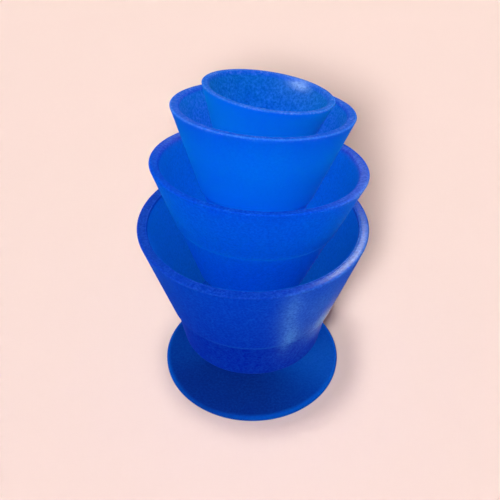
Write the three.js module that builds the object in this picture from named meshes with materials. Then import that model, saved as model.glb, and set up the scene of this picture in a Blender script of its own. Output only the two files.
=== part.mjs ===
import * as THREE from 'three';

// Four one-piece silicone mixing cups, nested in one another.
// Millimetres, +Z up. The origin is the centre of the extra large cup's foot, on its underside.

const seatGap = 0.3; // left between a nested cup and the bowl that it rests in
const edgeBevel = 0.5; // along the edges of rims and feet
const neckFillet = 1.2; // where a neck meets its foot and the bowl
const turnSteps = 48; // facets round a cup
const roundSteps = 3; // facets along a rounded corner

// A cup has a straight conical wall from its rim down to a ring. Below the ring, a small step leads to a
// narrower tapered base with a flat underside, and a neck joins that to a flat disc foot.
// Heights are from the underside of the cup's own foot.
const extraLarge = {
  rimRadius: 30,
  rimWidth: 2.5,
  height: 50.2,
  ringRadius: 22.6,
  ringHeight: 26,
  ringStep: 0.9,
  baseRadius: 19.3,
  baseHeight: 11.9,
  baseRound: 2,
  wall: 2.5,
  floorThickness: 2,
  floorRound: 3,
  neckRadius: 8,
  footRadius: 25.5,
  footThickness: 2,
};

const large = {
  rimRadius: 27.95,
  rimWidth: 2.3,
  height: 45.2,
  ringRadius: 21.55,
  ringHeight: 29.6,
  ringStep: 0.8,
  baseRadius: 14,
  baseHeight: 12.2,
  baseRound: 2,
  wall: 2.3,
  floorThickness: 2.4,
  floorRound: 3,
  neckRadius: 7,
  footRadius: 16.6,
  footThickness: 1.9,
};

const medium = {
  rimRadius: 23,
  rimWidth: 2.2,
  height: 36,
  ringRadius: 14.7,
  ringHeight: 14,
  ringStep: 0.7,
  baseRadius: 11.5,
  baseHeight: 5.6,
  baseRound: 1.5,
  wall: 2.1,
  floorThickness: 1.8,
  floorRound: 2.5,
  neckRadius: 5.5,
  footRadius: 14.7,
  footThickness: 1.8,
};

const small = {
  rimRadius: 16.4,
  rimWidth: 1.6,
  height: 27,
  ringRadius: 11.5,
  ringHeight: 13.5,
  ringStep: 0.5,
  baseRadius: 9.2,
  baseHeight: 6.4,
  baseRound: 1.2,
  wall: 1.6,
  floorThickness: 1.8,
  floorRound: 2.5,
  neckRadius: 4.5,
  footRadius: 11.5,
  footThickness: 1.6,
};

// How a nested cup sits in the bowl below: its lean to the right and to the back, in degrees, and how far
// its foot lies from that bowl's axis, all measured from the bowl.
const largeSeat = { leanRight: 3.04, leanBack: 7.28, shiftRight: -0.8, shiftBack: 0 };
const mediumSeat = { leanRight: 0.5, leanBack: 2.7, shiftRight: -0.25, shiftBack: 0 };
const smallSeat = { leanRight: 4.55, leanBack: -0.75, shiftRight: -1.15, shiftBack: 0 };

// Sizes of the hollow inside a cup.
function bowl(cup) {
  return {
    mouthRadius: cup.rimRadius - cup.rimWidth,
    ringRadius: cup.ringRadius - cup.wall,
    baseRadius: cup.baseRadius - cup.wall,
    floorHeight: cup.baseHeight + cup.floorThickness,
  };
}

// A rounded corner between a flat bottom and the wall that rises from it, from the wall in to the bottom.
function roundedCorner(radius, bottom, round) {
  return Array.from({ length: roundSteps + 1 }, (_, step) => {
    const angle = (step / roundSteps) * (Math.PI / 2);
    return new THREE.Vector2(
      radius - round + round * Math.cos(angle),
      bottom + round - round * Math.sin(angle),
    );
  });
}

// The outside of a cup from the edge of its foot up to its rim, as radius and height.
function outsideProfile(cup) {
  return [
    new THREE.Vector2(cup.footRadius - edgeBevel, 0),
    new THREE.Vector2(cup.footRadius, edgeBevel),
    new THREE.Vector2(cup.footRadius, cup.footThickness - edgeBevel),
    new THREE.Vector2(cup.footRadius - edgeBevel, cup.footThickness),
    new THREE.Vector2(cup.neckRadius + neckFillet, cup.footThickness),
    new THREE.Vector2(cup.neckRadius, cup.footThickness + neckFillet),
    new THREE.Vector2(cup.neckRadius, cup.baseHeight - neckFillet),
    new THREE.Vector2(cup.neckRadius + neckFillet, cup.baseHeight),
    ...roundedCorner(cup.baseRadius, cup.baseHeight, cup.baseRound).reverse(),
    new THREE.Vector2(cup.ringRadius - cup.ringStep, cup.ringHeight - cup.ringStep),
    new THREE.Vector2(cup.ringRadius, cup.ringHeight),
    new THREE.Vector2(cup.rimRadius, cup.height - edgeBevel),
    new THREE.Vector2(cup.rimRadius - edgeBevel, cup.height),
  ];
}

// The inside of a cup from its rim down to the edge of its floor.
function insideProfile(cup) {
  const inside = bowl(cup);
  return [
    new THREE.Vector2(inside.mouthRadius + edgeBevel, cup.height),
    new THREE.Vector2(inside.mouthRadius, cup.height - edgeBevel),
    new THREE.Vector2(inside.ringRadius, cup.ringHeight),
    ...roundedCorner(inside.baseRadius, inside.floorHeight, cup.floorRound),
  ];
}

function cupGeometry(cup) {
  const underFoot = new THREE.Vector2(0, 0);
  const onFloor = new THREE.Vector2(0, bowl(cup).floorHeight);
  const profile = [underFoot, ...outsideProfile(cup), ...insideProfile(cup), onFloor];
  // The lathe turns about Y, so the cup is stood up on Z.
  return new THREE.LatheGeometry(profile, turnSteps).rotateX(Math.PI / 2);
}

// Height of the surface under a nested cup at a distance from the bowl's axis: floor, wall or rim.
function surfaceHeight(cup, radius) {
  const upwards = insideProfile(cup).reverse();
  if (radius <= upwards[0].x) {
    return upwards[0].y;
  }
  for (let step = 1; step < upwards.length; step += 1) {
    const inner = upwards[step - 1];
    const outer = upwards[step];
    if (radius <= outer.x) {
      return inner.y + ((outer.y - inner.y) * (radius - inner.x)) / (outer.x - inner.x);
    }
  }
  return cup.height;
}

function leanOf(seat) {
  const right = Math.tan(THREE.MathUtils.degToRad(seat.leanRight));
  const back = Math.tan(THREE.MathUtils.degToRad(seat.leanBack));
  const upright = new THREE.Vector3(0, 0, 1);
  return new THREE.Quaternion().setFromUnitVectors(upright, new THREE.Vector3(right, back, 1).normalize());
}

// The lowest height at which no part of the leaning cup comes within the seat gap of the bowl.
function seatHeight(lower, upper, seat) {
  const lean = leanOf(seat);
  let height = 0;
  for (const { x: radius, y: level } of outsideProfile(upper)) {
    for (let step = 0; step < turnSteps; step += 1) {
      const angle = (step / turnSteps) * 2 * Math.PI;
      const point = new THREE.Vector3(radius * Math.cos(angle), radius * Math.sin(angle), level);
      point.applyQuaternion(lean);
      const reach = Math.hypot(point.x + seat.shiftRight, point.y + seat.shiftBack);
      height = Math.max(height, surfaceHeight(lower, reach + seatGap) + seatGap - point.z);
    }
  }
  return height;
}

function silicone(color) {
  return new THREE.MeshStandardMaterial({ color, roughness: 0.55, metalness: 0 });
}

// A group whose origin is the centre of the cup's foot, holding the cup.
function standingCup(name, cup, color) {
  const mesh = new THREE.Mesh(cupGeometry(cup), silicone(color));
  mesh.name = name;
  return new THREE.Group().add(mesh);
}

function nest(lowerGroup, lower, upperGroup, upper, seat) {
  upperGroup.position.set(seat.shiftRight, seat.shiftBack, seatHeight(lower, upper, seat));
  upperGroup.quaternion.copy(leanOf(seat));
  lowerGroup.add(upperGroup);
}

const extraLargeCup = standingCup('extra_large_cup', extraLarge, '#0739b4');
const largeCup = standingCup('large_cup', large, '#0848c4');
const mediumCup = standingCup('medium_cup', medium, '#0655e0');
const smallCup = standingCup('small_cup', small, '#0a50cc');

nest(extraLargeCup, extraLarge, largeCup, large, largeSeat);
nest(largeCup, large, mediumCup, medium, mediumSeat);
nest(mediumCup, medium, smallCup, small, smallSeat);

export default extraLargeCup;
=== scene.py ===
import math
from collections import namedtuple

import bpy
import numpy as np
from mathutils import Matrix, Vector


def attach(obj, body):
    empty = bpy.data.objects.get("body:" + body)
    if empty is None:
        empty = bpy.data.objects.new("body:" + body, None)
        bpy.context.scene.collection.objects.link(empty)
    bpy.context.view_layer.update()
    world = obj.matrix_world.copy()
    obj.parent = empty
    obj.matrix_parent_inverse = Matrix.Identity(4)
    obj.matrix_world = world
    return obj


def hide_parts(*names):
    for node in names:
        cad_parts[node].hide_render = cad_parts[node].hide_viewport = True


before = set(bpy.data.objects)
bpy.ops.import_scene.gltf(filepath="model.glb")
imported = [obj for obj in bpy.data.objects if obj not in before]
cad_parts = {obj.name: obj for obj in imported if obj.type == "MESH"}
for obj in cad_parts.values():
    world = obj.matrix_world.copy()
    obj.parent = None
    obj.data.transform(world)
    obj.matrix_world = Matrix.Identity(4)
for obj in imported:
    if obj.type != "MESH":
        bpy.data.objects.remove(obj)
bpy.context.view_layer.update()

# Four one-piece silicone mixing cups, nested in one another. Sizes are in millimetres, measured from the
# underside of each cup's own foot, and the meshes are in metres.
MM = 0.001

# The lip is the inner edge of the rim, inside a fine moulded groove. Outside, the wall has its low colour
# from
# low_height down: painted light on the three upper cups and painted shade on the lowest.
Cup = namedtuple("Cup", (
    "rim_radius rim_width height ring_radius ring_height ring_step base_radius base_height base_round "
    "wall floor_thickness floor_round neck_radius foot_radius foot_thickness "
    "lip_width lip_round groove_depth low_height"
))

EXTRA_LARGE = Cup(
    rim_radius=30, rim_width=2.5, height=50.2, ring_radius=22.6, ring_height=26, ring_step=0.9,
    base_radius=19.3, base_height=11.9, base_round=2, wall=2.5, floor_thickness=2, floor_round=3,
    neck_radius=8, foot_radius=25.5, foot_thickness=2,
    lip_width=0.28, lip_round=0.14, groove_depth=0.07, low_height=26,
)
LARGE = Cup(
    rim_radius=27.95, rim_width=2.3, height=45.2, ring_radius=21.55, ring_height=29.6, ring_step=0.8,
    base_radius=14, base_height=12.2, base_round=2, wall=2.3, floor_thickness=2.4, floor_round=3,
    neck_radius=7, foot_radius=16.6, foot_thickness=1.9,
    lip_width=0.9, lip_round=0.9, groove_depth=0.015, low_height=29.6,
)
MEDIUM = Cup(
    rim_radius=23, rim_width=2.2, height=36, ring_radius=14.7, ring_height=14, ring_step=0.7,
    base_radius=11.5, base_height=5.6, base_round=1.5, wall=2.1, floor_thickness=1.8, floor_round=2.5,
    neck_radius=5.5, foot_radius=14.7, foot_thickness=1.8,
    lip_width=0.9, lip_round=0.9, groove_depth=0.015, low_height=19,
)
SMALL = Cup(
    rim_radius=16.4, rim_width=1.6, height=27, ring_radius=11.5, ring_height=13.5, ring_step=0.5,
    base_radius=9.2, base_height=6.4, base_round=1.2, wall=1.6, floor_thickness=1.8, floor_round=2.5,
    neck_radius=4.5, foot_radius=11.5, foot_thickness=1.6,
    lip_width=0.7, lip_round=0.7, groove_depth=0.015, low_height=20,
)

# Edges and corners
EDGE_BEVEL = 0.5  # along the edges of a foot
EDGE_ROUND = 0.4  # rounds each corner of that bevel
RIM_BEVEL = 0.22  # along the outer edge of a rim, and the round of its corners
RING_ROUND = 1.6  # the edge of the ring, in ring steps
STEP_ROUND = 1.9  # the hollow under the ring, in ring steps
NECK_FILLET = 1.2
INNER_ROUND = 4  # where the wall inside bends at the ring's height
GROOVE_WIDTH = 0.24
GROOVE_ROUND = 0.04

# Where the zones of the finish begin and end
# The colours of the rim, lip and brink are painted sheen and shade.
RIM_FADE = (0.15, 0.55)  # below the rim outside, where its finish fades into the wall's
INNER_RIM_FADE = (0.2, 0.8)  # the same inside
LIP_RISE = (0.02, 0.25)  # from the outer edge of the rim, in rim widths, where the lip's colour comes in
BRINK_RISE = (0.1, 0.4)  # the same for the colour of the inner part
BRINK_SWEEP = (0.55, 0.98)  # that colour comes in from the sides to the front, by the sine of the turn
SHEEN_FADE = (0.4, 1.0)  # from the outer edge of the rim, in rim widths, where it gets less glossy
SHEEN_DROP = 0.75  # how much less
EDGE_SHEEN = 0.35  # how glossy its outer edge is, against its top
EDGE_FADE = (0.1, 1.3)  # from a crisp edge, where its paler colour, a painted highlight, fades
RING_EDGE = 0.6  # how far the ring's edge takes that colour
FOOT_RISE = 0.2  # how far above the underside of the base the foot's darker colour, painted shade, reaches

# Steps of the meshes
TURN_STEPS = 224
ARC_STEPS = 9
PROFILE_STEP = 0.8
LEAST_STEP = 0.0001

# The moulded skin
GRAIN_SCALE = 1600.0
CLOUD_SCALE = 260.0  # of the soft clouds in which the grain lies thicker or thinner
FOOT_CALM = 0.45  # how much weaker grain and mottle are on a foot
SPECK_SHARPNESS = 2.0  # a higher power leaves fewer, brighter specks on a rim
BUMP_HEIGHT = 0.1
TRANSLUCENCY = (1, 1.3, 1.6)  # how far red, green and blue light spread under the skin

# The camera, in front of the cups and looking down on them, with its angles in degrees
CAMERA_LENS = 51.84
SENSOR_WIDTH = 36
CAMERA_DISTANCE = 150.77
CAMERA_HEIGHT = 161.1
CAMERA_PITCH = 38.68
CAMERA_YAW = -0.27
CAMERA_ROLL = 0.25
CAMERA_NEAR = 10

# The studio
FLOOR_SIZE = 6000
FLOOR_COLOR = (255, 222, 213)
BACKDROP_COLOR = (252, 223, 215)
FLOOR_LAMP_POWER = 152
FLOOR_LAMP_COLOR = (0.885, 0.965, 0.955)
FLOOR_LAMP_RADIUS = 16
FLOOR_LAMP_SHIFT = 13  # to the left of the camera
DOME_AXIS = (-0.1, -0.5, 0.86)  # towards the brightest part of the dome
DOME_FADE = (0.0, 0.9)  # where the light grows, by the cosine of the angle to that part
DOME_LIGHT = (0.012, 0.1)  # the dimmest and the brightest
DOME_COLOR = (1, 0.4, 0.35, 1)


def cup_axis(node):
    """The centre of a cup's foot and the direction of its axis, from the CAD mesh.
    A cup is the same all round, so the area-weighted mean of its surface lies on the axis, and the axis is
    the principal direction of that surface that points most upwards."""
    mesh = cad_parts[node].data
    mesh.calc_loop_triangles()
    points = np.empty(len(mesh.vertices) * 3)
    mesh.vertices.foreach_get("co", points)
    corners = np.empty(len(mesh.loop_triangles) * 3, dtype=np.int32)
    mesh.loop_triangles.foreach_get("vertices", corners)
    points = points.reshape(-1, 3)
    triangles = points[corners].reshape(-1, 3, 3)
    sides = triangles[:, 1:] - triangles[:, :1]
    areas = np.linalg.norm(np.cross(sides[:, 0], sides[:, 1]), axis=1)
    centre = np.average(triangles.mean(axis=1), axis=0, weights=areas)
    arms = triangles - centre
    sums = arms.sum(axis=1)
    spread = np.einsum("t,tki,tkj->ij", areas, arms, arms) + np.einsum("t,ti,tj->ij", areas, sums, sums)
    directions = np.linalg.eigh(spread)[1].T
    axis = directions[np.argmax(np.abs(directions[:, 2]))]
    axis = axis * np.sign(axis[2])
    return centre + axis * ((points - centre) @ axis).min(), axis


def rounded_outline(corners, rounds):
    """An outline of radius and height through corners that are rounded off by arcs.
    An arc of radius r starts r * tan(turn / 2) before its corner. Its points swing evenly about the arc's
    centre, from the end of one straight stretch to the start of the next."""
    before = corners[1:-1] - corners[:-2]
    after = corners[2:] - corners[1:-1]
    before = before / np.linalg.norm(before, axis=1, keepdims=True)
    after = after / np.linalg.norm(after, axis=1, keepdims=True)
    turn = np.arccos(np.clip((before * after).sum(axis=1), -1, 1))[:, None]
    reach = rounds[:, None] * np.tan(turn / 2)
    inwards = (after - before) / np.linalg.norm(after - before, axis=1, keepdims=True)
    middle = corners[1:-1] + inwards * rounds[:, None] / np.cos(turn / 2)
    start = corners[1:-1] - before * reach - middle
    end = corners[1:-1] + after * reach - middle
    share = np.linspace(0, 1, ARC_STEPS)[None, :, None]
    turn = turn[:, :, None]
    arcs = start[:, None] * np.sin((1 - share) * turn) + end[:, None] * np.sin(share * turn)
    arcs = middle[:, None] + arcs / np.sin(turn)
    return np.concatenate([corners[:1], arcs.reshape(-1, 2), corners[-1:]])


def stations(outline):
    """The outline with a point at least every PROFILE_STEP, and none closer together than LEAST_STEP."""
    lengths = np.linalg.norm(np.diff(outline, axis=0), axis=1)
    along = np.concatenate([[0], np.cumsum(lengths)])
    even = np.linspace(0, along[-1], int(along[-1] / PROFILE_STEP))
    places = np.union1d(along, even)
    places = places[np.concatenate([[True], np.diff(places) > LEAST_STEP])]
    places[-1] = along[-1]
    radius = np.interp(places, along, outline[:, 0])
    height = np.interp(places, along, outline[:, 1])
    return np.stack([radius, height], axis=1)


def cup_outline(cup):
    """Half of a cup's section, from the middle of its underside up the outside, over the rim and down to the
    middle of its floor. Corners are radius, height and round."""
    mouth = cup.rim_radius - cup.rim_width
    floor = cup.base_height + cup.floor_thickness
    groove_inner = mouth + cup.lip_width
    groove_outer = groove_inner + GROOVE_WIDTH
    groove_middle = (groove_inner + groove_outer) / 2
    corners = np.array([
        (0, 0, 0),
        (cup.foot_radius - EDGE_BEVEL, 0, EDGE_ROUND),
        (cup.foot_radius, EDGE_BEVEL, EDGE_ROUND),
        (cup.foot_radius, cup.foot_thickness - EDGE_BEVEL, EDGE_ROUND),
        (cup.foot_radius - EDGE_BEVEL, cup.foot_thickness, EDGE_ROUND),
        (cup.neck_radius, cup.foot_thickness, NECK_FILLET),
        (cup.neck_radius, cup.base_height, NECK_FILLET),
        (cup.base_radius, cup.base_height, cup.base_round),
        (cup.ring_radius - cup.ring_step, cup.ring_height - cup.ring_step, STEP_ROUND * cup.ring_step),
        (cup.ring_radius, cup.ring_height, RING_ROUND * cup.ring_step),
        (cup.rim_radius, cup.height - RIM_BEVEL, RIM_BEVEL),
        (cup.rim_radius - RIM_BEVEL, cup.height, RIM_BEVEL),
        (groove_outer, cup.height, GROOVE_ROUND),
        (groove_middle, cup.height - cup.groove_depth, GROOVE_ROUND),
        (groove_inner, cup.height, GROOVE_ROUND),
        (mouth, cup.height, cup.lip_round),
        (cup.ring_radius - cup.wall, cup.ring_height, INNER_ROUND),
        (cup.base_radius - cup.wall, floor, cup.floor_round),
        (0, floor, 0),
    ])
    return stations(rounded_outline(corners[:, :2], corners[1:-1, 2]))


def turn_angles():
    """The even steps round a cup, in radians from its right towards its back."""
    return np.linspace(0, 2 * np.pi, TURN_STEPS, endpoint=False)


def soft_step(values, start, end):
    """A smooth rise from 0 at start to 1 at end."""
    share = np.clip((values - start) / (end - start), 0, 1)
    return share * share * (3 - 2 * share)


Patch = namedtuple("Patch", "inside azimuth spread height reach strength")


def soft_patches(outline, past_rim, patches):
    """Soft patches on a cup's skin, summed. A patch lies inside or outside, round an azimuth in degrees (0 at
    the front, 90 at the right) and a height. It falls off on a bell curve: spread degrees round the cup and
    reach millimetres in height."""
    azimuth = np.degrees(turn_angles())[None] + 90
    total = np.zeros((len(outline), TURN_STEPS))
    for patch in patches:
        turn = (azimuth - patch.azimuth + 180) % 360 - 180
        rise = outline[:, 1:] - patch.height
        bell = np.exp(-0.5 * ((turn / patch.spread) ** 2 + (rise / patch.reach) ** 2))
        total += np.where(past_rim[:, None] == patch.inside, patch.strength * bell, 0)
    return np.clip(total, -1, 1)


def finish_masks(cup, outline, blooms=(), glints=(), gleams=(), thin_spots=(), deep_spots=()):
    """How far each point of a cup belongs to each zone of its finish: the inside, the rim, the lip along the
    middle of its top, the brink along the front of its inner part, the base below the ring, the foot with its
    neck, and the crisp edges of ring and foot. The colours of these zones hold painted light and shade, and
    the edges a painted highlight. Sheen is how glossy the rim is. Depth runs from 0 at the rim to 1 at the
    low part of the wall outside, and to 1 at the floor inside. Patches add the rest: patches of painted
    light, sheen and reflection, painted highlights, patches of glossier skin, spots that add painted
    highlight to the edges or take it off, and spots that add to the depth."""
    radius, height = outline.T
    below = cup.height - height
    rim_start = np.argmax(below < LEAST_STEP)  # the first point on the top of the rim
    past_rim = np.arange(len(outline)) > rim_start
    across = (cup.rim_radius - radius) / cup.rim_width
    inside = np.where(past_rim, soft_step(below, *INNER_RIM_FADE), 0)
    rim = np.where(past_rim, 1 - inside, 1 - soft_step(below, *RIM_FADE))
    sheen = np.where(past_rim, rim * (1 - SHEEN_DROP * soft_step(across, *SHEEN_FADE)), EDGE_SHEEN * rim)
    lip = np.where(past_rim, rim * soft_step(across, *LIP_RISE), 0)
    brink = np.where(past_rim, rim * soft_step(across, *BRINK_RISE), 0)
    base = np.where(past_rim, 0, 1 - soft_step(height, cup.ring_height - cup.ring_step, cup.ring_height))
    foot_top = cup.base_height + FOOT_RISE
    foot = np.where(past_rim, 0, 1 - soft_step(height, cup.base_height - NECK_FILLET, foot_top))

    # The crisp edges of ring and foot take the edge colour, a painted highlight.
    half_step = cup.ring_step / 2
    ring_distance = np.hypot(radius - cup.ring_radius + half_step, height - cup.ring_height + half_step)
    foot_distance = cup.foot_radius - radius + np.maximum(height - cup.foot_thickness, 0)
    ring_edge = RING_EDGE * (1 - soft_step(ring_distance, *EDGE_FADE))
    foot_edge = 1 - soft_step(foot_distance, *EDGE_FADE)
    edge = np.maximum(ring_edge, foot_edge)
    # Depth mixes in the low wall and deep inside colours, which are painted light and shade.
    lowest = np.where(past_rim, cup.base_height + cup.floor_thickness, cup.low_height)
    depth = np.clip(below / (cup.height - lowest), 0, 1)

    masks = {"inside": inside, "rim": rim, "sheen": sheen, "lip": lip, "base": base, "foot": foot}
    masks = {name: values[:, None] for name, values in masks.items()}
    masks["brink"] = brink[:, None] * soft_step(-np.sin(turn_angles()), *BRINK_SWEEP)
    masks["edge"] = np.clip(edge[:, None] + soft_patches(outline, past_rim, thin_spots), 0, 1)
    masks["depth"] = np.clip(depth[:, None] + soft_patches(outline, past_rim, deep_spots), 0, 1)
    masks["bloom"] = soft_patches(outline, past_rim, blooms)
    masks["glint"] = soft_patches(outline, past_rim, glints)
    masks["gleam"] = soft_patches(outline, past_rim, gleams)
    return masks


def turned_piece(name, outline, masks, foot_centre, axis):
    """A surface of revolution: each point of the outline is carried round the axis in TURN_STEPS even steps.
    The two ends of the outline lie on the axis and are one vertex each, so the skin is closed. Each mask
    becomes an attribute of the points."""
    axis = Vector(axis)
    right = Vector((0, 1, 0)).cross(axis).normalized()
    back = axis.cross(right)
    angles = turn_angles()
    spokes = np.cos(angles)[:, None] * np.array(right) + np.sin(angles)[:, None] * np.array(back)
    radius, height = (outline * MM).T
    spine = np.array(foot_centre) + height[:, None] * np.array(axis)
    rings = spine[1:-1, None] + radius[1:-1, None, None] * spokes[None]
    points = np.concatenate([spine[:1], rings.reshape(-1, 3), spine[-1:]])

    ring_count = len(outline) - 2
    numbers = 1 + np.arange(ring_count * TURN_STEPS).reshape(ring_count, TURN_STEPS)
    following = np.roll(numbers, -1, axis=1)
    quads = np.stack([numbers[:-1], following[:-1], following[1:], numbers[1:]], axis=-1).reshape(-1, 4)
    last = len(points) - 1
    under = np.stack([np.zeros(TURN_STEPS, int), following[0], numbers[0]], axis=-1)
    over = np.stack([numbers[-1], following[-1], np.full(TURN_STEPS, last)], axis=-1)

    mesh = bpy.data.meshes.new(name)
    mesh.from_pydata(points.tolist(), [], under.tolist() + quads.tolist() + over.tolist())
    mesh.polygons.foreach_set("use_smooth", np.ones(len(mesh.polygons), dtype=bool))
    for mask, values in masks.items():
        spread = np.broadcast_to(values, (len(outline), TURN_STEPS))
        spread = np.concatenate([spread[0, :1], spread[1:-1].ravel(), spread[-1, :1]])
        mesh.attributes.new(mask, "FLOAT", "POINT").data.foreach_set("value", spread.astype(np.float32))
    mesh.update()
    piece = bpy.data.objects.new(name, mesh)
    bpy.context.scene.collection.objects.link(piece)
    return piece


def srgb(red, green, blue):
    """A colour written as 0 to 255 on screen, as the linear values that a shader takes: the standard screen
    curve, straight near black and a power above."""
    channels = np.array([red, green, blue]) / 255
    linear = np.where(channels <= 0.04045, channels / 12.92, ((channels + 0.055) / 1.055) ** 2.4)
    return (*linear.tolist(), 1)


def add_node(tree, kind, **settings):
    """A node of a kind, with settings for its properties or, by name, for its input sockets."""
    node = tree.nodes.new(kind)
    for key, value in settings.items():
        if hasattr(node, key):
            setattr(node, key, value)
        else:
            node.inputs[key.replace("_", " ")].default_value = value
    return node


def mix_colors(tree, factor, first, second):
    """The colour socket of a mix of two colour sockets by a factor socket. A mix node has a set of sockets
    for each kind of data under the same names, so the ones for colours go by number."""
    mix = add_node(tree, "ShaderNodeMix", data_type="RGBA")
    tree.links.new(factor, mix.inputs[0])
    tree.links.new(first, mix.inputs[6])
    tree.links.new(second, mix.inputs[7])
    return mix.outputs[2]


def math_node(tree, operation, first, second):
    """The value socket of an operation on two sockets or numbers."""
    node = add_node(tree, "ShaderNodeMath", operation=operation)
    for value, socket in zip((first, second), node.inputs):
        if isinstance(value, (int, float)):
            socket.default_value = value
        else:
            tree.links.new(value, socket)
    return node.outputs[0]


def map_range(tree, value, **settings):
    """The value socket of a socket that is mapped from one range to another."""
    node = add_node(tree, "ShaderNodeMapRange", **settings)
    tree.links.new(value, node.inputs["Value"])
    return node.outputs[0]


# The colours of a cup's zones, specks and patches. Most zone colours hold painted light and shade: the low
# wall and base are painted light on the three upper cups and painted shade on the lowest, the insides of
# the three larger cups are paler, painted light, the deep inside is mostly darker towards the floor, the
# foot is darker, painted shade, the edge colour is a painted highlight, and the rim, lip and brink colours
# are painted sheen and shade. The colour of the patches of painted light, sheen and reflection and that of
# the painted highlights are pale unless a cup has its own.
Zones = namedtuple(
    "Zones",
    "wall low_wall base foot edge inside deep_inside rim lip brink rim_speck frost bloom glint",
    defaults=((150, 190, 243), (235, 235, 250)),
)
# How strong a cup's specks, mottle and gloss are.
Finish = namedtuple("Finish", "powder inside_frost rim_frost mottle inside_mottle rim_gloss")
# The attributes that finish_masks gives a cup's points and the skin reads.
ZONE_MASKS = (
    "inside", "rim", "sheen", "lip", "brink", "base", "foot", "edge", "depth", "bloom", "glint", "gleam",
)


def socket_name(field):
    """The name of the skin's socket for a field of Zones or Finish."""
    return field.replace("_", " ").title()


def frosted_skin_group():
    """The moulded skin that all the cups share: the colours of its zones, with their painted light and shade,
    a grain of pale specks that is thin and powdery outside and thicker inside, brighter specks on the rim,
    patches of painted light, sheen, reflection and highlight, and glossier patches."""
    group = bpy.data.node_groups.new("frosted_skin", "ShaderNodeTree")
    for field in Zones._fields:
        group.interface.new_socket(socket_name(field), in_out="INPUT", socket_type="NodeSocketColor")
    for field in Finish._fields:
        group.interface.new_socket(socket_name(field), in_out="INPUT", socket_type="NodeSocketFloat")
    group.interface.new_socket("Color", in_out="OUTPUT", socket_type="NodeSocketColor")
    for name in ("Roughness", "Gloss", "Height"):
        group.interface.new_socket(name, in_out="OUTPUT", socket_type="NodeSocketFloat")
    inputs = group.nodes.new("NodeGroupInput").outputs
    outputs = group.nodes.new("NodeGroupOutput").inputs
    masks = {
        name: add_node(group, "ShaderNodeAttribute", attribute_name=name).outputs["Fac"]
        for name in ZONE_MASKS
    }

    # The grain, and what is made of it
    place = group.nodes.new("ShaderNodeTexCoord").outputs["Object"]
    noise = add_node(group, "ShaderNodeTexNoise", Scale=GRAIN_SCALE, Detail=2.0, Roughness=0.6)
    group.links.new(place, noise.inputs["Vector"])
    grain = noise.outputs["Fac"]
    clouds = add_node(group, "ShaderNodeTexNoise", Scale=CLOUD_SCALE, Detail=3.0, Roughness=0.55)
    group.links.new(place, clouds.inputs["Vector"])
    specks = map_range(group, grain, From_Min=0.36, From_Max=0.74, To_Min=0.0, To_Max=1.0)
    cover = map_range(group, clouds.outputs["Fac"], From_Min=0.35, From_Max=0.65, To_Min=0.55, To_Max=1.0)
    specks = math_node(group, "MULTIPLY", specks, cover)
    sway = map_range(group, grain, clamp=False, From_Min=0.37, From_Max=0.63, To_Min=-1.0, To_Max=1.0)
    uneven = map_range(group, grain, From_Min=0.3, From_Max=0.7, To_Min=0.6, To_Max=1.3)
    calm = math_node(group, "MULTIPLY", masks["foot"], -FOOT_CALM)
    calm = math_node(group, "ADD", calm, 1.0)

    # The colours of the zones, with their painted light and shade
    color = mix_colors(group, masks["depth"], inputs["Wall"], inputs["Low Wall"])
    color = mix_colors(group, masks["base"], color, inputs["Base"])
    color = mix_colors(group, masks["foot"], color, inputs["Foot"])
    color = mix_colors(group, masks["edge"], color, inputs["Edge"])
    color = mix_colors(group, masks["rim"], color, inputs["Rim"])
    within = mix_colors(group, masks["depth"], inputs["Inside"], inputs["Deep Inside"])
    color = mix_colors(group, masks["inside"], color, within)
    color = mix_colors(group, masks["lip"], color, inputs["Lip"])
    color = mix_colors(group, masks["brink"], color, inputs["Brink"])

    # Mottle darkens and lightens them
    mottle = math_node(group, "MULTIPLY", masks["inside"], inputs["Inside Mottle"])
    mottle = math_node(group, "ADD", mottle, inputs["Mottle"])
    mottle = math_node(group, "MULTIPLY", mottle, sway)
    mottle = math_node(group, "MULTIPLY", mottle, calm)
    shaded = add_node(group, "ShaderNodeVectorMath", operation="SCALE")
    group.links.new(color, shaded.inputs["Vector"])
    group.links.new(math_node(group, "ADD", mottle, 1.0), shaded.inputs["Scale"])
    color = shaded.outputs["Vector"]

    # Specks lie over them, then patches of painted light, sheen and reflection, and painted highlights
    frost = math_node(group, "MULTIPLY", masks["inside"], inputs["Inside Frost"])
    frost = math_node(group, "ADD", frost, inputs["Powder"])
    frost = math_node(group, "MULTIPLY", frost, specks)
    frost = math_node(group, "MULTIPLY", frost, calm)
    color = mix_colors(group, frost, color, inputs["Frost"])
    rim_frost = math_node(group, "MULTIPLY", masks["rim"], inputs["Rim Frost"])
    rim_specks = math_node(group, "POWER", specks, SPECK_SHARPNESS)
    rim_frost = math_node(group, "MULTIPLY", rim_frost, rim_specks)
    color = mix_colors(group, rim_frost, color, inputs["Rim Speck"])
    bloom = math_node(group, "MULTIPLY", masks["bloom"], uneven)
    color = mix_colors(group, bloom, color, inputs["Bloom"])
    glint = math_node(group, "MULTIPLY", masks["glint"], uneven)
    color = mix_colors(group, glint, color, inputs["Glint"])

    gloss = math_node(group, "MULTIPLY", masks["sheen"], inputs["Rim Gloss"])
    gloss = math_node(group, "ADD", gloss, masks["gleam"])
    group.links.new(color, outputs["Color"])
    group.links.new(map_range(group, grain, To_Min=0.5, To_Max=0.68), outputs["Roughness"])
    group.links.new(gloss, outputs["Gloss"])
    group.links.new(grain, outputs["Height"])
    return group


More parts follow.
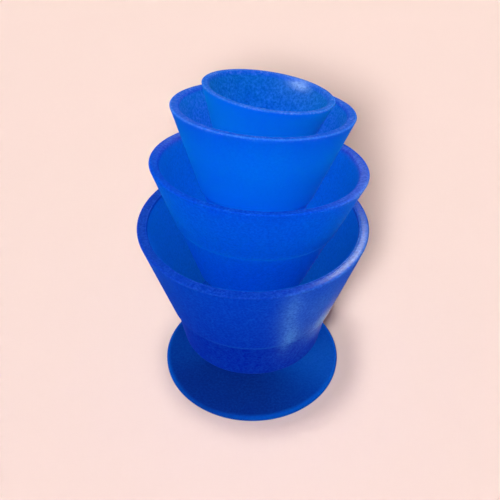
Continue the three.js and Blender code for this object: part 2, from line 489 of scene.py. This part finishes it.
def silicone(name, skin, zones, finish):
    """Soft royal-blue silicone: a matt skin over a translucent body, with a slightly glossier rim."""
    material = bpy.data.materials.new(name)
    material.use_nodes = True
    tree = material.node_tree
    shader = tree.nodes["Principled BSDF"]
    look = tree.nodes.new("ShaderNodeGroup")
    look.node_tree = skin
    for field, color in zones._asdict().items():
        look.inputs[socket_name(field)].default_value = srgb(*color)
    for field, value in finish._asdict().items():
        look.inputs[socket_name(field)].default_value = value
    bump = add_node(tree, "ShaderNodeBump", Strength=0.12, Distance=BUMP_HEIGHT * MM)
    tree.links.new(look.outputs["Color"], shader.inputs["Base Color"])
    tree.links.new(look.outputs["Roughness"], shader.inputs["Roughness"])
    tree.links.new(look.outputs["Gloss"], shader.inputs["Coat Weight"])
    tree.links.new(look.outputs["Height"], bump.inputs["Height"])
    tree.links.new(bump.outputs["Normal"], shader.inputs["Normal"])
    shader.inputs["IOR"].default_value = 1.41
    shader.inputs["Specular IOR Level"].default_value = 0.004
    shader.inputs["Specular Tint"].default_value = srgb(90, 130, 255)
    shader.inputs["Coat Roughness"].default_value = 0.14
    shader.inputs["Coat IOR"].default_value = 1.45
    shader.inputs["Subsurface Weight"].default_value = 1.0
    shader.inputs["Subsurface Radius"].default_value = TRANSLUCENCY
    shader.inputs["Subsurface Scale"].default_value = MM
    return material


def make_cup(body, cup, material, **patches):
    """One cup, turned about the axis of its CAD node and standing for that node."""
    node = f"{body}_cup"
    outline = cup_outline(cup)
    masks = finish_masks(cup, outline, **patches)
    piece = turned_piece(f"{body}_mixing_cup", outline, masks, *cup_axis(node))
    piece.data.materials.append(material)
    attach(piece, body)
    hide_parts(node)
    return piece


def make_floor():
    """A pale flat floor, a square of FLOOR_SIZE under the object."""
    reach = FLOOR_SIZE * MM / 2
    across = np.array([-reach, reach])
    x, y = np.meshgrid(across, across)
    points = np.stack([x.ravel(), y.ravel(), np.zeros(4)], axis=1)
    mesh = bpy.data.meshes.new("floor")
    mesh.from_pydata(points.tolist(), [], [(0, 1, 3, 2)])
    floor = bpy.data.objects.new("floor", mesh)
    bpy.context.scene.collection.objects.link(floor)
    paper = bpy.data.materials.new("pale_paper")
    paper.use_nodes = True
    shader = paper.node_tree.nodes["Principled BSDF"]
    shader.inputs["Base Color"].default_value = srgb(*FLOOR_COLOR)
    shader.inputs["Roughness"].default_value = 1.0
    shader.inputs["Specular IOR Level"].default_value = 0.0
    mesh.materials.append(paper)
    return floor


def make_world():
    """Soft light from a dome that is brightest high in front and dim low behind. The camera, reflections and
    clear materials see the pale colour of the floor instead."""
    world = bpy.data.worlds.new("studio")
    world.use_nodes = True
    tree = world.node_tree
    towards = tree.nodes.new("ShaderNodeTexCoord").outputs["Generated"]
    facing = add_node(tree, "ShaderNodeVectorMath", operation="DOT_PRODUCT")
    tree.links.new(towards, facing.inputs[0])
    facing.inputs[1].default_value = DOME_AXIS
    level = map_range(
        tree, facing.outputs["Value"], interpolation_type="SMOOTHSTEP",
        From_Min=DOME_FADE[0], From_Max=DOME_FADE[1], To_Min=DOME_LIGHT[0], To_Max=DOME_LIGHT[1],
    )
    light = tree.nodes["Background"]
    light.inputs["Color"].default_value = DOME_COLOR
    tree.links.new(level, light.inputs["Strength"])
    seen = add_node(tree, "ShaderNodeBackground", Color=srgb(*BACKDROP_COLOR), Strength=1.0)
    path = tree.nodes.new("ShaderNodeLightPath")
    seen_rays = math_node(tree, "MAXIMUM", path.outputs["Is Camera Ray"], path.outputs["Is Glossy Ray"])
    seen_rays = math_node(tree, "MAXIMUM", seen_rays, path.outputs["Is Transmission Ray"])
    mix = tree.nodes.new("ShaderNodeMixShader")
    tree.links.new(seen_rays, mix.inputs[0])
    tree.links.new(light.outputs[0], mix.inputs[1])
    tree.links.new(seen.outputs[0], mix.inputs[2])
    tree.links.new(mix.outputs[0], tree.nodes["World Output"].inputs["Surface"])
    bpy.context.scene.world = world


def make_lamp(name, lit, azimuth, elevation, strength, spread):
    """A far soft lamp that lights the objects of one collection. Azimuth 0 is at the front and 90 to the
    right, and spread is how wide the lamp looks, all in degrees."""
    lamp = bpy.data.lights.new(name, "SUN")
    lamp.energy = strength
    lamp.angle = math.radians(spread)
    turn = math.radians(azimuth)
    rise = math.radians(elevation)
    towards = Vector((math.sin(turn) * math.cos(rise), -math.cos(turn) * math.cos(rise), math.sin(rise)))
    holder = bpy.data.objects.new(name, lamp)
    holder.rotation_euler = towards.to_track_quat("Z", "Y").to_euler()
    holder.light_linking.receiver_collection = lit
    bpy.context.scene.collection.objects.link(holder)
    return holder


def make_fill(name, lit, azimuth, elevation, strength, spread):
    """A far soft lamp that throws no shadow, so it fills the hollows of the cups too."""
    holder = make_lamp(name, lit, azimuth, elevation, strength, spread)
    holder.data.use_shadow = False
    return holder


def make_floor_lamp(lit):
    """A soft round lamp to the left of the camera. Its strength grows with the cube of the distance, which
    makes up for the fall-off and the slant, so the floor is evenly bright."""
    lamp = bpy.data.lights.new("floor_softbox", "POINT")
    lamp.energy = FLOOR_LAMP_POWER
    lamp.color = FLOOR_LAMP_COLOR
    lamp.shadow_soft_size = FLOOR_LAMP_RADIUS * MM
    lamp.use_nodes = True
    tree = lamp.node_tree
    distance = tree.nodes.new("ShaderNodeLightPath").outputs["Ray Length"]
    tree.links.new(math_node(tree, "POWER", distance, 3.0), tree.nodes["Emission"].inputs["Strength"])
    holder = bpy.data.objects.new("floor_softbox", lamp)
    holder.location = (-FLOOR_LAMP_SHIFT * MM, -CAMERA_DISTANCE * MM, CAMERA_HEIGHT * MM)
    holder.visible_camera = False
    holder.light_linking.receiver_collection = lit
    bpy.context.scene.collection.objects.link(holder)


def make_camera():
    """The camera stands in front of the cups, turned by yaw, tilted down by pitch and then rolled."""
    lens = bpy.data.cameras.new("camera")
    lens.sensor_width = SENSOR_WIDTH
    lens.lens = CAMERA_LENS
    lens.clip_start = CAMERA_NEAR * MM
    camera = bpy.data.objects.new("camera", lens)
    bpy.context.scene.collection.objects.link(camera)
    stand = Matrix.Translation((0, -CAMERA_DISTANCE * MM, CAMERA_HEIGHT * MM))
    aim = Matrix.Rotation(math.radians(-CAMERA_YAW), 4, "Z")
    tilt = Matrix.Rotation(math.radians(90 - CAMERA_PITCH), 4, "X")
    roll = Matrix.Rotation(math.radians(CAMERA_ROLL), 4, "Z")
    camera.matrix_world = stand @ aim @ tilt @ roll
    bpy.context.scene.camera = camera


make_camera()
make_world()
floor_set = bpy.data.collections.new("lit_floor")
floor_set.objects.link(make_floor())
cup_set = bpy.data.collections.new("lit_cups")

make_floor_lamp(floor_set)
above = make_lamp("floor_top_lamp", floor_set, azimuth=-85, elevation=86.8, strength=1.32, spread=11)
above.data.color = FLOOR_LAMP_COLOR
front = make_fill("front_softbox", cup_set, azimuth=-6, elevation=36, strength=1.4, spread=12)
front.visible_glossy = False
make_fill("overhead_softbox", cup_set, azimuth=-11, elevation=59, strength=1.5, spread=150)
make_fill("right_softbox", cup_set, azimuth=118, elevation=55, strength=0.8, spread=25)
make_fill("left_softbox", cup_set, azimuth=-90, elevation=65, strength=0.5, spread=25)
# These two show only as reflections: on the rims, and along the right edge of the lowest cup.
window = make_fill("window", cup_set, azimuth=169.4, elevation=39.3, strength=0.6, spread=5)
window.visible_diffuse = False
card = make_fill("edge_card", cup_set, azimuth=156, elevation=-47, strength=0.11, spread=20)
card.visible_diffuse = False

skin = frosted_skin_group()
# Each cup's zone colours hold painted light and shade as set out at Zones, and its patch colours paint light,
# sheen, reflection and highlights.
extra_large_silicone = silicone(
    "extra_large_silicone", skin,
    Zones(
        wall=(0, 55, 189), low_wall=(0, 35, 164), base=(0, 29, 157), foot=(4, 41, 133), edge=(2, 75, 178),
        inside=(3, 113, 220), deep_inside=(4, 91, 184),
        rim=(4, 58, 176), lip=(3, 60, 170), brink=(3, 57, 175), rim_speck=(80, 135, 245),
        frost=(40, 125, 230), bloom=(106, 188, 255),
    ),
    Finish(powder=0.16, inside_frost=0.0, rim_frost=0.18, mottle=0.05, inside_mottle=0.0, rim_gloss=0.09),
)
large_silicone = silicone(
    "large_silicone", skin,
    Zones(
        wall=(0, 80, 225), low_wall=(0, 92, 226), base=(0, 94, 228), foot=(1, 58, 158), edge=(1, 138, 255),
        inside=(5, 114, 219), deep_inside=(1, 108, 206),
        rim=(0, 70, 203), lip=(2, 66, 191), brink=(0, 60, 186), rim_speck=(60, 145, 250),
        frost=(30, 150, 245),
    ),
    Finish(powder=0.14, inside_frost=0.0, rim_frost=0.24, mottle=0.05, inside_mottle=0.0, rim_gloss=0.012),
)
medium_silicone = silicone(
    "medium_silicone", skin,
    Zones(
        wall=(0, 90, 231), low_wall=(1, 130, 252), base=(1, 120, 246), foot=(1, 76, 190), edge=(2, 102, 225),
        inside=(4, 123, 218), deep_inside=(0, 92, 204),
        rim=(30, 102, 222), lip=(15, 82, 201), brink=(2, 80, 202), rim_speck=(140, 165, 255),
        frost=(110, 165, 255), bloom=(0, 150, 255),
    ),
    Finish(powder=0.01, inside_frost=0.22, rim_frost=0.42, mottle=0.01, inside_mottle=0.05, rim_gloss=0.03),
)
small_silicone = silicone(
    "small_silicone", skin,
    Zones(
        wall=(2, 116, 247), low_wall=(6, 145, 254), base=(2, 132, 250), foot=(1, 86, 202), edge=(2, 112, 232),
        inside=(2, 106, 202), deep_inside=(0, 97, 215),
        rim=(28, 104, 222), lip=(9, 88, 204), brink=(20, 92, 216), rim_speck=(140, 170, 255),
        frost=(60, 160, 245), glint=(170, 212, 255),
    ),
    Finish(powder=0.01, inside_frost=0.31, rim_frost=0.42, mottle=0.01, inside_mottle=0.08, rim_gloss=0.03),
)

cups = [
    make_cup(
        "extra_large", EXTRA_LARGE, extra_large_silicone,
        # Painted reflection: a streak down the front right of the wall and a haze beside it; painted light on
        # the base and on the right of the foot; and a painted highlight along the right of the rim, outside
        # and inside
        blooms=(
            Patch(inside=False, azimuth=20, spread=4, height=42, reach=7, strength=0.16),
            Patch(inside=False, azimuth=24, spread=3.6, height=29, reach=4, strength=0.22),
            Patch(inside=False, azimuth=38, spread=14, height=38, reach=9, strength=0.1),
            Patch(inside=False, azimuth=40, spread=10, height=29, reach=2.2, strength=0.07),
            Patch(inside=False, azimuth=52, spread=5, height=29, reach=2.4, strength=0.3),
            Patch(inside=False, azimuth=32, spread=14, height=18, reach=6, strength=0.015),
            Patch(inside=False, azimuth=58, spread=12, height=23.5, reach=2.5, strength=0.1),
            Patch(inside=False, azimuth=82, spread=16, height=1.8, reach=1.5, strength=0.015),
            Patch(inside=True, azimuth=69, spread=22, height=50.2, reach=0.5, strength=0.18),
            Patch(inside=False, azimuth=69, spread=22, height=50.2, reach=0.4, strength=0.18),
        ),
        # A painted highlight along the bright right edge, above the ring, and glossier skin there
        glints=(Patch(inside=False, azimuth=65, spread=4, height=29, reach=3.2, strength=0.4),),
        gleams=(Patch(inside=False, azimuth=68, spread=14, height=29.5, reach=4.2, strength=1.0),),
        # More painted highlight on the edge of the foot at the right and a little at the left, and painted
        # shade on it at the front left
        thin_spots=(
            Patch(inside=False, azimuth=80, spread=28, height=2, reach=2.5, strength=0.95),
            Patch(inside=False, azimuth=-95, spread=25, height=2, reach=2.5, strength=0.3),
            Patch(inside=False, azimuth=-32, spread=18, height=2, reach=2.5, strength=-0.6),
        ),
    ),
    make_cup(
        "large", LARGE, large_silicone,
        # Painted highlights along the right of the rim, outside and inside, and on the rim inside at the back
        # left
        blooms=(
            Patch(inside=False, azimuth=67, spread=14, height=45.2, reach=0.4, strength=0.25),
            Patch(inside=True, azimuth=70, spread=18, height=45.2, reach=0.4, strength=0.05),
        ),
        glints=(
            Patch(inside=True, azimuth=90, spread=28, height=45.2, reach=0.6, strength=0.06),
            Patch(inside=True, azimuth=-125, spread=18, height=45.2, reach=0.6, strength=0.05),
        ),
        # So wide that it takes the painted highlight off the edge of the foot all round
        thin_spots=(Patch(inside=False, azimuth=0, spread=400, height=1, reach=1.5, strength=-1),),
    ),
    make_cup(
        "medium", MEDIUM, medium_silicone,
        # Painted light down the middle of the front of the wall
        blooms=(Patch(inside=False, azimuth=-2, spread=18, height=24, reach=12, strength=0.22),),
    ),
    make_cup(
        "small", SMALL, small_silicone,
        # A painted highlight inside, at the back right, with a faint halo
        glints=(
            Patch(inside=True, azimuth=143, spread=7, height=25.8, reach=0.65, strength=0.75),
            Patch(inside=True, azimuth=143, spread=20, height=25.5, reach=2.8, strength=0.04),
        ),
        # Painted light on the right of the wall: more of the paler low colour there
        deep_spots=(Patch(inside=False, azimuth=60, spread=24, height=20, reach=9, strength=0.3),),
    ),
]
for cup in cups:
    cup_set.objects.link(cup)

bpy.context.scene.view_settings.view_transform = "Standard"
